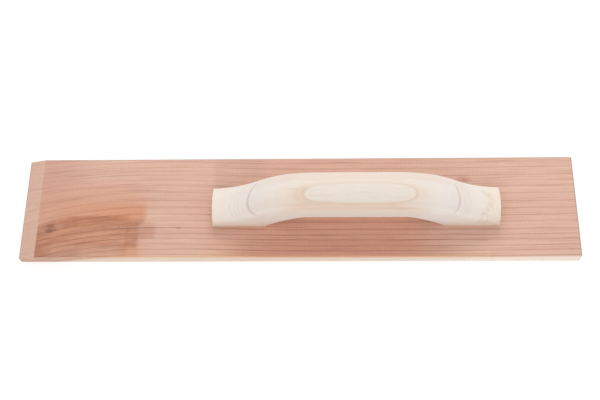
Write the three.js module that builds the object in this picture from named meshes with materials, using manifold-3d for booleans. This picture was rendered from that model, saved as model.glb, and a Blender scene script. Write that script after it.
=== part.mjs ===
// Wooden hand float: a long flat blade, a bridge handle carved from one block, and the four
// countersunk screws that hold the handle to the blade.
//
// Millimetres, +Z up. The origin is the centre of the blade's working face, which lies on Z = 0.
// +X runs along the blade towards its square end, and the bevelled end is at -X.

import * as THREE from 'three';
import { mergeVertices } from 'three/addons/utils/BufferGeometryUtils.js';
import Module from 'manifold-3d';

const wasm = await Module();
wasm.setup();

// Blade: an 18 inch board, half an inch thick, with one end bevelled on its upper side.
const BLADE_LENGTH = 457.2;
const BLADE_WIDTH = 87;
const BLADE_THICKNESS = 12.7;
const BEVEL_RUN = 14;
const BEVEL_DROP = 4.5;
const BLADE_EASING = 0.6;

// Handle: one block, standing a little off the blade's middle, as the float is balanced in use.
// Its length is taken along the toes' upper edges.
const HANDLE_LENGTH = 232.5;
const HANDLE_WIDTH = 30;
const HANDLE_HEIGHT = 48.5;
const HANDLE_CENTRE_X = 47.8;
const HANDLE_CENTRE_Y = -2.4;

// The handle's top line: a flat grip, then one S-shaped sweep down to each low toe.
const GRIP_FLAT = 50;
const TOE_HEIGHT = 16.5;
const SHOULDER_REACH = 59;
const TOE_REACH = 40;
const TOE_RISE = 4.5;

// The hand opening under the grip.
const OPENING_LENGTH = 141;
const OPENING_HEIGHT = 17.8;
const OPENING_FLAT = 81;
const OPENING_SHOULDER = 6;
const OPENING_FOOT_REACH = 6;
const OPENING_OFFSET_X = -0.6;

// Rounding of the handle: the top is a full dome from side to side, the opening's edges are eased.
const DOME_CREST = 1;
const DOME_DOWN = 8.7;
const DOME_STEPS = 8;
const OPENING_ROUND = 3;
const OPENING_ROUND_STEPS = 3;

// Toe ends: small corners and a slight bulge in plan, leaning outwards from top to base.
const TOE_CORNER = 1.2;
const TOE_BULGE = 1.1;
const TOE_SPLAY = 2.4;

// Flat-head wood screws, driven up through the blade into the feet.
const SCREW_LENGTH = 25;
const SCREW_SHANK_RADIUS = 2.1;
const SCREW_CORE_RADIUS = 1.5;
const SCREW_HEAD_RADIUS = 4.1;
const SCREW_HEAD_DEPTH = 2.6;
const SCREW_RIM = 0.3;
const SCREW_SHANK_LENGTH = 11;
const SCREW_POINT_LENGTH = 3.5;
const SCREW_SUNK = 0.6;
const RECESS_SPAN = 4.4;
const RECESS_BAR = 1.1;
const RECESS_DEPTH = 1.7;
const SCREW_FROM_TOE = { outer: 14, inner: 33 };
const FIT_GAP = 0.3;

const CUT_MARGIN = 5;
const FRAME_MARGIN = 20;
const CURVE_POINTS = 18;
const ROUND_SEGMENTS = 24;

const WOOD_BLADE = { color: 0xd2a089, roughness: 0.72, metalness: 0 };
const WOOD_HANDLE = { color: 0xe6dccb, roughness: 0.6, metalness: 0 };
const STEEL = { color: 0x9a9b9c, roughness: 0.35, metalness: 0.9 };

// A closed three.js geometry as a manifold solid.
function toSolid(geometry) {
  const bare = geometry.clone();
  for (const name of Object.keys(bare.attributes)) {
    if (name !== 'position') bare.deleteAttribute(name);
  }
  const merged = mergeVertices(bare, 1e-4);
  const vertProperties = new Float32Array(merged.attributes.position.array);
  const triVerts = new Uint32Array(merged.index.array);
  return new wasm.Manifold(new wasm.Mesh({ numProp: 3, vertProperties, triVerts }));
}

// A manifold solid as a named three.js mesh.
function toMesh(name, solid, look) {
  const { vertProperties, triVerts } = solid.getMesh();
  const geometry = new THREE.BufferGeometry();
  geometry.setAttribute('position', new THREE.BufferAttribute(vertProperties, 3));
  geometry.setIndex(new THREE.BufferAttribute(triVerts, 1));
  geometry.computeVertexNormals();
  const mesh = new THREE.Mesh(geometry, new THREE.MeshStandardMaterial(look));
  mesh.name = name;
  return mesh;
}

// A side outline (x along the tool, y up) as a slab across the tool, centred on Y = 0.
// With rounding, the slab's two faces shrink inwards by down over the last across millimetres.
function slabAcross(shape, width, rounding = { across: 0, down: 0, steps: 0 }) {
  const { across, down, steps } = rounding;
  const geometry = new THREE.ExtrudeGeometry(shape, {
    depth: width - 2 * across,
    curveSegments: CURVE_POINTS,
    bevelEnabled: steps > 0,
    bevelThickness: across,
    bevelSize: down,
    bevelOffset: -down,
    bevelSegments: steps,
  });
  geometry.translate(0, 0, across - width / 2);
  geometry.rotateX(Math.PI / 2);
  return toSolid(geometry);
}

// A plan outline (x along the tool, y across it) as a block from Z = 0 up.
function blockUp(shape, height) {
  const geometry = new THREE.ExtrudeGeometry(shape, {
    depth: height,
    curveSegments: CURVE_POINTS,
    bevelEnabled: false,
  });
  return toSolid(geometry);
}

// A profile of [radius, height] pairs turned about the Z axis.
function turned(profile) {
  const points = profile.map(([radius, height]) => new THREE.Vector2(radius, height));
  const geometry = new THREE.LatheGeometry(points, ROUND_SEGMENTS);
  geometry.rotateX(Math.PI / 2);
  return toSolid(geometry);
}

// The screws' places: two in each foot, on the handle's centre line.
const screwPlaces = [];
for (const [side, sign] of [['left', -1], ['right', 1]]) {
  for (const [row, fromToe] of Object.entries(SCREW_FROM_TOE)) {
    screwPlaces.push({
      name: `screw_${side}_${row}`,
      x: HANDLE_CENTRE_X + sign * (HANDLE_LENGTH / 2 - fromToe),
      y: HANDLE_CENTRE_Y,
    });
  }
}

// The screw's outline from the head down, grown by gap where it serves as its own hole.
// Heights count from the head's face, which is at 0, into the wood.
function screwProfile(gap) {
  const coreStart = SCREW_SHANK_LENGTH;
  const pointStart = SCREW_LENGTH - SCREW_POINT_LENGTH;
  return [
    [0, 0],
    [SCREW_HEAD_RADIUS + gap, 0],
    [SCREW_HEAD_RADIUS + gap, SCREW_RIM + gap],
    [SCREW_SHANK_RADIUS + gap, SCREW_HEAD_DEPTH + gap],
    [SCREW_SHANK_RADIUS + gap, coreStart + gap],
    [SCREW_CORE_RADIUS + gap, coreStart + gap + SCREW_SHANK_RADIUS - SCREW_CORE_RADIUS],
    [SCREW_CORE_RADIUS + gap, pointStart + gap],
    [0, SCREW_LENGTH + 2 * gap],
  ];
}

// The hole for one screw: the screw's own outline with a gap, opened to the working face.
function screwHole() {
  const mouth = new THREE.CylinderGeometry(
    SCREW_HEAD_RADIUS + FIT_GAP,
    SCREW_HEAD_RADIUS + FIT_GAP,
    SCREW_SUNK + CUT_MARGIN,
    ROUND_SEGMENTS,
  );
  mouth.rotateX(Math.PI / 2);
  mouth.translate(0, 0, SCREW_SUNK + SCREW_RIM / 2 - (SCREW_SUNK + CUT_MARGIN) / 2);
  return turned(screwProfile(FIT_GAP)).translate([0, 0, SCREW_SUNK]).add(toSolid(mouth));
}

function withScrewHoles(solid) {
  const hole = screwHole();
  let drilled = solid;
  for (const { x, y } of screwPlaces) {
    drilled = drilled.subtract(hole.translate([x, y, 0]));
  }
  return drilled;
}

// Blade: its end view is a board with eased upper edges, and its side view has the bevel.
function blade() {
  const halfLength = BLADE_LENGTH / 2;
  const side = new THREE.Shape();
  side.moveTo(-halfLength, 0);
  side.lineTo(halfLength, 0);
  side.lineTo(halfLength, BLADE_THICKNESS);
  side.lineTo(BEVEL_RUN - halfLength, BLADE_THICKNESS);
  side.lineTo(-halfLength, BLADE_THICKNESS - BEVEL_DROP);
  side.closePath();

  const halfWidth = BLADE_WIDTH / 2;
  const end = new THREE.Shape();
  end.moveTo(-halfWidth, 0);
  end.lineTo(halfWidth, 0);
  end.lineTo(halfWidth, BLADE_THICKNESS - BLADE_EASING);
  end.lineTo(halfWidth - BLADE_EASING, BLADE_THICKNESS);
  end.lineTo(BLADE_EASING - halfWidth, BLADE_THICKNESS);
  end.lineTo(-halfWidth, BLADE_THICKNESS - BLADE_EASING);
  end.closePath();
  const board = new THREE.ExtrudeGeometry(end, {
    depth: BLADE_LENGTH + 2 * CUT_MARGIN,
    bevelEnabled: false,
  });
  board.translate(0, 0, -halfLength - CUT_MARGIN);
  board.rotateX(Math.PI / 2);
  board.rotateZ(Math.PI / 2);

  const solid = slabAcross(side, BLADE_WIDTH + 2 * CUT_MARGIN).intersect(toSolid(board));
  return toMesh('blade', withScrewHoles(solid), WOOD_BLADE);
}

// The handle's top line, carried past both toes and below the base so that the ends and the base
// are cut clean afterwards.
function handleTopOutline() {
  const half = HANDLE_LENGTH / 2;
  const past = half + DOME_DOWN + CUT_MARGIN;
  const below = -DOME_DOWN - CUT_MARGIN;
  const shoulder = GRIP_FLAT / 2 + SHOULDER_REACH;
  const outline = new THREE.Shape();
  outline.moveTo(-past, below);
  outline.lineTo(past, below);
  outline.lineTo(past, TOE_HEIGHT);
  outline.lineTo(half, TOE_HEIGHT);
  outline.bezierCurveTo(
    half - TOE_REACH, TOE_HEIGHT + TOE_RISE,
    shoulder, HANDLE_HEIGHT,
    GRIP_FLAT / 2, HANDLE_HEIGHT,
  );
  outline.lineTo(-GRIP_FLAT / 2, HANDLE_HEIGHT);
  outline.bezierCurveTo(
    -shoulder, HANDLE_HEIGHT,
    TOE_REACH - half, TOE_HEIGHT + TOE_RISE,
    -half, TOE_HEIGHT,
  );
  outline.lineTo(-past, TOE_HEIGHT);
  outline.closePath();
  return outline;
}

// Everything but the hand opening: a frame around it whose inner edge gets the easing.
function openingOutline() {
  const past = HANDLE_LENGTH / 2 + FRAME_MARGIN;
  const above = HANDLE_HEIGHT + FRAME_MARGIN;
  const below = -FRAME_MARGIN;
  const half = OPENING_LENGTH / 2;
  const flat = OPENING_FLAT / 2;
  const slope = OPENING_FOOT_REACH;
  const frame = new THREE.Shape();
  frame.moveTo(-past, below);
  frame.lineTo(-half, below);
  frame.lineTo(-half, 0);
  frame.bezierCurveTo(
    slope - half, slope,
    -flat - OPENING_SHOULDER, OPENING_HEIGHT,
    -flat, OPENING_HEIGHT,
  );
  frame.lineTo(flat, OPENING_HEIGHT);
  frame.bezierCurveTo(
    flat + OPENING_SHOULDER, OPENING_HEIGHT,
    half - slope, slope,
    half, 0,
  );
  frame.lineTo(half, below);
  frame.lineTo(past, below);
  frame.lineTo(past, above);
  frame.lineTo(-past, above);
  frame.closePath();
  return frame;
}

// The handle's plan: straight sides and slightly bulging toes with small corners.
function handlePlan() {
  const half = HANDLE_LENGTH / 2;
  const side = HANDLE_WIDTH / 2;
  const cornerX = half - TOE_BULGE;
  const plan = new THREE.Shape();
  plan.moveTo(-cornerX + TOE_CORNER, -side);
  plan.lineTo(cornerX - TOE_CORNER, -side);
  plan.quadraticCurveTo(cornerX, -side, cornerX, TOE_CORNER - side);
  plan.quadraticCurveTo(half + TOE_BULGE, 0, cornerX, side - TOE_CORNER);
  plan.quadraticCurveTo(cornerX, side, cornerX - TOE_CORNER, side);
  plan.lineTo(TOE_CORNER - cornerX, side);
  plan.quadraticCurveTo(-cornerX, side, -cornerX, side - TOE_CORNER);
  plan.quadraticCurveTo(-half - TOE_BULGE, 0, -cornerX, TOE_CORNER - side);
  plan.quadraticCurveTo(-cornerX, -side, TOE_CORNER - cornerX, -side);
  return plan;
}

// The handle's plan as a block whose ends lean out from the toes' upper edges down to the base.
function splayedBlock() {
  return blockUp(handlePlan(), HANDLE_HEIGHT + CUT_MARGIN).warp((point) => {
    point[0] += Math.sign(point[0]) * TOE_SPLAY * (1 - point[2] / TOE_HEIGHT);
  });
}

// Handle: the rounded-over block, less the eased hand opening, within its plan and above the base.
function handle() {
  const dome = { across: (HANDLE_WIDTH - DOME_CREST) / 2, down: DOME_DOWN, steps: DOME_STEPS };
  const easing = { across: OPENING_ROUND, down: OPENING_ROUND, steps: OPENING_ROUND_STEPS };
  const block = slabAcross(handleTopOutline(), HANDLE_WIDTH, dome);
  const frame = slabAcross(openingOutline(), HANDLE_WIDTH, easing).translate([OPENING_OFFSET_X, 0, 0]);
  const solid = block
    .intersect(frame)
    .intersect(splayedBlock())
    .translate([HANDLE_CENTRE_X, HANDLE_CENTRE_Y, BLADE_THICKNESS]);
  return toMesh('handle', withScrewHoles(solid), WOOD_HANDLE);
}

// One screw, with a cross recess in its head, standing head down at its place.
function screw({ name, x, y }) {
  const cross = new THREE.BoxGeometry(RECESS_SPAN, RECESS_BAR, 2 * RECESS_DEPTH);
  const otherBar = cross.clone().rotateZ(Math.PI / 2);
  const recess = toSolid(cross).add(toSolid(otherBar));
  const mesh = toMesh(name, turned(screwProfile(0)).subtract(recess), STEEL);
  mesh.position.set(x, y, SCREW_SUNK);
  return mesh;
}

const handFloat = new THREE.Group();
handFloat.add(blade());
handFloat.add(handle());
for (const place of screwPlaces) {
  handFloat.add(screw(place));
}

export default handFloat;
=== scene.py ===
"""Wooden hand float: a planed redwood blade, a carved bridge handle and four countersunk screws.

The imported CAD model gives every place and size. This script replaces its plain solids with finished
meshes and solid wood materials, then sets a white table, soft studio light and the camera.
"""
import functools
import math

import bmesh
import bpy
import numpy as np
from mathutils import Matrix, Vector, noise


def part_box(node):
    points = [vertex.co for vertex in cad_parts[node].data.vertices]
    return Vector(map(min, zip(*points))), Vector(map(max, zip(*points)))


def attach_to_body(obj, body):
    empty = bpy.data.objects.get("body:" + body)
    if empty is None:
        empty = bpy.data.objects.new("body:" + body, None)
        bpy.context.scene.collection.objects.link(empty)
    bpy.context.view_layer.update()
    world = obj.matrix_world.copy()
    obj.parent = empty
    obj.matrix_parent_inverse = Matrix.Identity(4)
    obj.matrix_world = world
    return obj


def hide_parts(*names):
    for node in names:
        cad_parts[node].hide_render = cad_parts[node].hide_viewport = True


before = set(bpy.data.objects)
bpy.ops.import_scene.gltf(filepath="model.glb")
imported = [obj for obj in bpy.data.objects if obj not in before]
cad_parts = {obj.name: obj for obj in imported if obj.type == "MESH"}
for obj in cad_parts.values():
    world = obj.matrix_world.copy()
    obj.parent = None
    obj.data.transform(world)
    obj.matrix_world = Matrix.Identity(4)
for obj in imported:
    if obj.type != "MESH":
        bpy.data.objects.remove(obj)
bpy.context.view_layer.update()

MM = 0.001

# Places and sizes from the CAD frame, in millimetres.
BLADE_LOW, BLADE_HIGH = (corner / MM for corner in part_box("blade"))
HANDLE_LOW, HANDLE_HIGH = (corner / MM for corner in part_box("handle"))
SCREWS = sorted(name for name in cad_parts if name.startswith("screw_"))
BLADE_TOP = BLADE_HIGH.z
HANDLE_MIDDLE = (HANDLE_LOW + HANDLE_HIGH) / 2

# Blade: the bevel at the -X end, and how far its arrises are eased.
BEVEL_RUN = 14.0
BEVEL_DROP = 4.5
BEVEL_LINE = BLADE_LOW.x + BEVEL_RUN
BLADE_ARRIS = 0.45

# Handle, in its own frame: u along it from its middle, v across it, h above the blade.
TOE_SPLAY = 2.4  # how far a toe end leans out at the blade
HALF_LENGTH = (HANDLE_HIGH.x - HANDLE_LOW.x) / 2 - TOE_SPLAY
HALF_WIDTH = (HANDLE_HIGH.y - HANDLE_LOW.y) / 2
GRIP_HEIGHT = HANDLE_HIGH.z - HANDLE_LOW.z
GRIP_HALF_FLAT = 25.0
SHOULDER_REACH = 59.0  # how far the top line's curve follows the level grip
TOE_HEIGHT = 16.5
TOE_REACH = 40.0  # how far it follows the toe's slope, and how high that rises
TOE_RISE = 4.5
OPENING_HALF_LENGTH = 70.5
OPENING_HEIGHT = 17.8
OPENING_HALF_FLAT = 40.5
OPENING_SHOULDER = 6.0
OPENING_FOOT_REACH = 6.0
OPENING_MIDDLE = -0.6
OPENING_ROUND = 3.0
DOME_DROP = 8.7  # how far the rounded top falls from its crest to the sides
DOME_CREST = 0.5
TOE_CORNER = 1.2
TOE_BULGE = 1.1
TOE_BLEND = 9.0
FOOT_BLEND = 14.0
HANDLE_ARRIS = 0.5
HAND_CARVED = 0.10  # how uneven the carved top is, and how long and wide its lumps are
LUMP_LENGTH, LUMP_WIDTH, LUMP_SEED = 22.0, 14.0, 3.1

# How finely the meshes are divided.
ARRIS_SEGMENTS = 3
CURVE_POINTS = 60
FLAT_POINTS = 12
TOE_OVERRUN, FOOT_OVERRUN = 8, 12  # steps that a curve runs on past its end
DOME_STEPS = 18
ROUND_STEPS = 5
STATION_SPACING = 2.2
HOLE_SEGMENTS = 48
SCREW_SEGMENTS = 36
THREAD_STEP = 0.2

# Screws: number 8 wood screws, head down.
HEAD_EASE = 0.12
HEAD_RIM = 0.35
HEAD_DEPTH = 2.6
NECK_FLARE = 0.25
SHANK_RADIUS = 2.05
SHANK_LENGTH = 10.5
CORE_RADIUS = 1.45
THREAD_PITCH = 2.8
THREAD_WIDTH = 0.24
POINT_LENGTH = 5.0
POINT_RADIUS = 0.03
RECESS_SPAN = 4.4
RECESS_BAR = 1.15
RECESS_DEPTH = 1.9
RECESS_MOUTH, RECESS_FLOOR = 1.12, 0.62  # its size below the head's face and at its floor
HOLE_GAP = 0.3


# ---- Mesh helpers

def new_object(name, data):
    """A new object in the scene."""
    thing = bpy.data.objects.new(name, data)
    bpy.context.scene.collection.objects.link(thing)
    return thing


def new_piece(name, bm):
    """A bmesh in millimetres as an object in metres."""
    bmesh.ops.recalc_face_normals(bm, faces=bm.faces)
    mesh = bpy.data.meshes.new(name)
    bm.to_mesh(mesh)
    bm.free()
    mesh.transform(Matrix.Scale(MM, 4))
    return new_object(name, mesh)


def apply_modifiers(piece):
    """Bakes a piece's modifiers into its mesh."""
    graph = bpy.context.evaluated_depsgraph_get()
    finished = bpy.data.meshes.new_from_object(piece.evaluated_get(graph))
    piece.modifiers.clear()
    old = piece.data
    piece.data = finished
    bpy.data.meshes.remove(old)


def ease_edges(piece, width, angle):
    """Rounds every edge sharper than the angle."""
    bevel = piece.modifiers.new("arris", "BEVEL")
    bevel.width = width * MM
    bevel.segments = ARRIS_SEGMENTS
    bevel.limit_method = "ANGLE"
    bevel.angle_limit = math.radians(angle)
    apply_modifiers(piece)


def cut_away(piece, cutters):
    """Subtracts each cutter from the piece and deletes the cutters."""
    for cutter in cutters:
        cut = piece.modifiers.new("cut", "BOOLEAN")
        cut.operation = "DIFFERENCE"
        cut.solver = "EXACT"
        cut.object = cutter
    bpy.context.view_layer.update()
    apply_modifiers(piece)
    for cutter in cutters:
        bpy.data.objects.remove(cutter)


def shade(piece, angle):
    """Smooth shading that keeps the edges sharper than the angle."""
    for polygon in piece.data.polygons:
        polygon.use_smooth = True
    piece.data.set_sharp_from_angle(angle=math.radians(angle))


def ring_faces(bm, lower, upper):
    """Quads between two closed rings of vertices."""
    count = len(lower)
    for i in range(count):
        j = (i + 1) % count
        bm.faces.new((lower[i], lower[j], upper[j], upper[i]))


def cap(bm, ring):
    """A fan that closes a ring of vertices."""
    middle = sum((vertex.co for vertex in ring), Vector()) / len(ring)
    centre = bm.verts.new(middle)
    count = len(ring)
    for i in range(count):
        bm.faces.new((centre, ring[i], ring[(i + 1) % count]))


def closed_stack(name, bm, loops):
    """A piece whose surface joins rings of vertices, with both its ends closed."""
    for lower, upper in zip(loops, loops[1:]):
        ring_faces(bm, lower, upper)
    cap(bm, loops[0])
    cap(bm, loops[-1])
    return new_piece(name, bm)


def turned(name, rings, place, segments, turn=0.0):
    """A closed turned shape: rings of (radius at angle, height), from the first to the last.

    The rings' corners start at the X axis, or at a turn from it, given in steps between corners.
    """
    bm = bmesh.new()
    angles = [2 * math.pi * (i + turn) / segments for i in range(segments)]
    loops = []
    for radius_at, height in rings:
        loop = []
        for angle in angles:
            radius = radius_at(angle) if callable(radius_at) else radius_at
            spot = Vector((radius * math.cos(angle), radius * math.sin(angle), height))
            loop.append(bm.verts.new(spot + place))
        loops.append(loop)
    return closed_stack(name, bm, loops)


def attach(piece, node, material):
    """Gives a piece its material and lets it stand for a node of the CAD model."""
    piece.data.materials.append(material)
    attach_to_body(piece, "root")
    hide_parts(node)


# ---- Material helper

EDGE_SAMPLES = 6
EDGE_FLAT, EDGE_SHARP = 0.995, 0.85


def srgb(red, green, blue):
    """A colour given as 0 to 255 display values, as the linear RGBA that shaders use."""
    def linear(value):
        share = value / 255
        if share <= 0.04045:
            return share / 12.92
        return ((share + 0.055) / 1.055) ** 2.4
    return (linear(red), linear(green), linear(blue), 1.0)


class Shader:
    """Builds one procedural material. Most methods add nodes and return their output socket."""

    def __init__(self, name):
        self.material = bpy.data.materials.new(name)
        self.material.use_nodes = True
        self.tree = self.material.node_tree
        self.surface = self.tree.nodes["Principled BSDF"]

    def add(self, kind, **settings):
        """A new node."""
        node = self.tree.nodes.new(kind)
        for setting, value in settings.items():
            setattr(node, setting, value)
        return node

    def feed(self, socket, value):
        """Links a socket to another socket, or sets it to a plain value."""
        if isinstance(value, bpy.types.NodeSocket):
            self.tree.links.new(value, socket)
        else:
            socket.default_value = value

    def feed_all(self, sockets, *values, **named):
        """Feeds sockets in their order, then by name, where a name's _ stands for a space."""
        for socket, value in zip(sockets, values):
            self.feed(socket, value)
        for name, value in named.items():
            self.feed(sockets[name.replace("_", " ")], value)

    def math(self, operation, *values):
        node = self.add("ShaderNodeMath", operation=operation)
        self.feed_all(node.inputs, *values)
        return node.outputs[0]

    def plus(self, *values):
        return functools.reduce(functools.partial(self.math, "ADD"), values)

    def times(self, *values):
        return functools.reduce(functools.partial(self.math, "MULTIPLY"), values)

    def weighted(self, *pairs):
        """The sum of each value times its weight."""
        return self.plus(*[self.times(value, weight) for value, weight in pairs])

    def above(self, value, start):
        """How far a value lies above start, or 0 below it."""
        return self.math("MAXIMUM", self.math("SUBTRACT", value, start), 0.0)

    def below(self, value, start):
        """How far a value lies below start, or 0 above it."""
        return self.math("MAXIMUM", self.math("SUBTRACT", start, value), 0.0)

    def fade(self, value, start, end, low=0.0, high=1.0):
        """Smoothly from low where value is start to high where it is end, held beyond both."""
        node = self.add("ShaderNodeMapRange", interpolation_type="SMOOTHSTEP", clamp=True)
        self.feed_all(node.inputs, value, start, end, low, high)
        return node.outputs[0]

    def span(self, value, start, full, last, end):
        """1 from full to last, fading to 0 at start and at end."""
        return self.times(self.fade(value, start, full), self.fade(value, end, last))

    def place(self):
        """The point in the CAD's frame, in millimetres, as three sockets."""
        scaled = self.add("ShaderNodeVectorMath", operation="SCALE")
        spot = self.add("ShaderNodeTexCoord").outputs["Object"]
        self.feed_all(scaled.inputs, spot, Scale=1 / MM)
        split = self.add("ShaderNodeSeparateXYZ")
        self.feed(split.inputs[0], scaled.outputs[0])
        return tuple(split.outputs)

    def noise(self, spot, sizes, detail=2.0, roughness=0.5, shift=0.0):
        """Noise from -1 to 1 whose lumps are about sizes millimetres in x, y and z."""
        scaled = [self.math("DIVIDE", axis, size) for axis, size in zip(spot, sizes)]
        scaled[0] = self.math("ADD", scaled[0], shift)
        joined = self.add("ShaderNodeCombineXYZ")
        self.feed_all(joined.inputs, *scaled)
        node = self.add("ShaderNodeTexNoise", noise_dimensions="3D")
        lumps = joined.outputs[0]
        self.feed_all(node.inputs, Vector=lumps, Scale=1.0, Detail=detail, Roughness=roughness)
        return self.math("MULTIPLY_ADD", node.outputs["Fac"], 2.0, -1.0)

    def ramp(self, value, stops, low=0.0, high=1.0):
        """A ramp through (place, level or colour) stops, with places from low to high."""
        share = self.math("DIVIDE", self.math("SUBTRACT", value, low), high - low)
        node = self.add("ShaderNodeValToRGB")
        elements = node.color_ramp.elements
        while len(elements) < len(stops):
            elements.new(1.0)
        for element, (place, level) in zip(elements, stops):
            element.position = (place - low) / (high - low)
            element.color = level if isinstance(level, tuple) else (level, level, level, 1.0)
        self.feed(node.inputs[0], share)
        return node.outputs[0]

    def mix(self, share, first, second, blend="MIX"):
        """From the first colour to the second as share goes from 0 to 1."""
        node = self.add("ShaderNodeMix", data_type="RGBA", blend_type=blend, clamp_factor=True)
        # The sockets of an RGBA mix: its factor, then its two colours and its result.
        self.feed_all((node.inputs[0], node.inputs[6], node.inputs[7]), share, first, second)
        return node.outputs[2]

    def tint(self, colour, tone, *masks, share=1.0):
        """The colour moved towards the tone, by share where every mask is 1."""
        return self.mix(self.times(*masks, share), colour, tone)

    def brighten(self, colour, gain):
        """The colour times a gain socket around 1."""
        grey = self.add("ShaderNodeCombineColor")
        self.feed_all(grey.inputs, gain, gain, gain)
        return self.mix(1.0, colour, grey.outputs[0], "MULTIPLY")

    def edge(self, radius):
        """1 on edges within radius millimetres, 0 on open faces."""
        rounded = self.add("ShaderNodeBevel", samples=EDGE_SAMPLES)
        self.feed_all(rounded.inputs, Radius=radius * MM)
        true_normal = self.add("ShaderNodeNewGeometry").outputs["Normal"]
        dot = self.add("ShaderNodeVectorMath", operation="DOT_PRODUCT")
        self.feed_all(dot.inputs, rounded.outputs[0], true_normal)
        return self.fade(dot.outputs["Value"], EDGE_FLAT, EDGE_SHARP)

    def bump(self, height, distance):
        """A bump whose height socket of 1 stands distance millimetres proud."""
        node = self.add("ShaderNodeBump")
        self.feed_all(node.inputs, Height=height, Strength=1.0, Distance=distance * MM)
        self.feed_all(self.surface.inputs, Normal=node.outputs[0])

    def finish(self, colour, roughness, specular):
        """Sets the surface and returns the finished material."""
        self.feed_all(
            self.surface.inputs,
            Base_Color=colour, Roughness=roughness, Specular_IOR_Level=specular,
        )
        return self.material


# ---- Blade material: straight-grained redwood with a water stain near the bevel

# Where the dark growth lines cross the blade's middle, in mm from its centre line.
GROWTH_LINES = (
    -57, -52.5, -48, -43.4, -38.7, -34.6, -29.3, -25.2, -20.4, -13.9, -8.5, -2.1, 3.8, 11.1,
    17.4, 21.9, 27, 34.2, 39, 44, 49, 57,
)
# How dark those lines are, by the same positions.
LINE_STRENGTH = (
    (-60, 0.9), (-38.7, 1.0), (-34.6, 0.75), (-27, 0.95), (-20, 0.7), (-2, 0.7), (11, 0.65),
    (19, 0.5), (21.9, 0.25), (26, 0.55), (35, 0.45), (60, 0.35),
)
# How dark a growth ring is on its way from one dark line to the next.
RING_PROFILE = (
    (0.0, 1.0), (0.05, 0.5), (0.11, 0.05), (0.78, 0.0), (0.89, 0.15), (0.95, 0.7), (1.0, 1.0),
)
GRAIN_SPAN = 60.0
GRAIN_TILT = 0.6

# The grain's bends: where they start along the blade and how strong they are.
TURN_START = -120.0
TURN_AT_BACK, TURN_AT_FRONT = 0.0007, 0.0013
RISE_START = 75.0
RISE = -0.00006
LIFT = -2.1
SWAY = 0.4
RIPPLE = 0.2

SAPWOOD_START = -44.6
TICK_PITCH = 1.7

# Spans where something shows, in mm: its start, where it is full, where it is last full, its end.
# The first two spans place painted shade and painted light on the blade around the handle.
HANDLE_SHADE_SPAN = (-95.0, -20.0, 80.0, 140.0)
CONTACT_SHADOW_SPAN = (-74.0, -66.0, -34.0, -22.0)
GOLDEN_SPAN = (-172.0, -152.0, 100.0, 210.0)
WASHED_SPAN = (-215.0, -200.0, -150.0, -138.0)
WASHED_STRIP = (-43.4, -42.6, -36.0, -32.0)
HAZE_SPAN = (-240.0, -190.0, -140.0, -116.0)
RIM_STRIP = (-22.0, -12.0, -9.6, -5.4)

# Patches of the stain: left, right, front, back and the softness of their edges.
STAIN_BODY = (-240.0, -139.5, -60.0, -8.2, 1.4)
STAIN_TAIL = (-142.0, -126.5, -15.5, -9.5, 1.8)
STAIN_BLOCK = (-140.0, -130.5, -35.0, -13.5, 1.8)
STAIN_STREAKS = (-131.0, -117.0, -27.6, -14.0, 2.2)
STAIN_FOOT = (-145.0, -129.5, -43.0, -33.0, 2.0)
STAIN_CORNER = (-230.0, -202.0, -60.0, -24.0, 6.0)
STAIN_CLEAR = (-178.0, -150.0, -40.0, -27.5, 4.0)
CLEAR_SLANT = -0.06

MOST_SOAKED = 0.68
BLEED_ORANGE, BLEED_GREY = 0.5, 0.6
TINTED_WET = 0.75
SPOT_SOAK, SPOT_MOTTLE = 0.48, 0.25

# Ovals on the blade's top: place along and across it, half-length, half-width and strength.
STAIN_SPOTS = (
    (-203.5, -16.4, 5.0, 2.6, 0.6),
    (-204.5, -20.6, 6.0, 2.2, 0.7),
    (-203.8, -18.6, 7.5, 5.5, 0.5),
)
DARK_DASH = (-97.8, -18.6, 3.4, 0.9, 0.6)
RUST_MARKS = ((137.5, 23.5, 9.0, 4.0, 0.3), (138.0, 23.5, 1.6, 1.1, 0.3))

EARLYWOOD = srgb(206, 165, 148)
EARLYWOOD_TAN = srgb(209, 172, 151)
EARLYWOOD_IN_WARM_SHADE = srgb(214, 148, 120)
EARLYWOOD_DULL = srgb(188, 142, 126)
LATEWOOD = srgb(150, 96, 78)
SAPWOOD = srgb(221, 201, 182)
SAPWOOD_PALE = srgb(232, 216, 203)
WASHED = srgb(186, 161, 149)
STAIN = srgb(160, 97, 66)
STAIN_ORANGE = srgb(200, 140, 106)
STAIN_GREY = srgb(148, 100, 82)
STAIN_SPOT = srgb(112, 66, 48)
FRESH_CUT_AND_LIGHT = srgb(206, 171, 152)
DARK_EDGE_TONE = srgb(140, 116, 104)
PAINTED_GRIP_SHADOW = srgb(176, 108, 76)
GOLDEN = srgb(220, 172, 126)


def blade_grain(wood, x, y, z, depth):
    """Where the growth line through a point crosses the blade's middle, in mm from its centre line.

    The lines sag forward a little in the middle and turn to the front at the bevelled end.
    """
    to_left = wood.below(x, TURN_START)
    turn = wood.times(to_left, to_left, wood.fade(y, 25.0, -8.0, TURN_AT_BACK, TURN_AT_FRONT))
    to_right = wood.above(x, RISE_START)
    rise = wood.times(to_right, to_right, RISE)
    lift = wood.fade(x, -10.0, -100.0, 0.0, LIFT)
    sway = wood.times(wood.noise((x, y, z), (120.0, 30.0, 30.0)), SWAY)
    ripple = wood.times(wood.noise((x, y, z), (26.0, 9.0, 9.0), shift=7.0), RIPPLE)
    return wood.plus(y, turn, rise, lift, sway, ripple, wood.times(depth, GRAIN_TILT))


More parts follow.
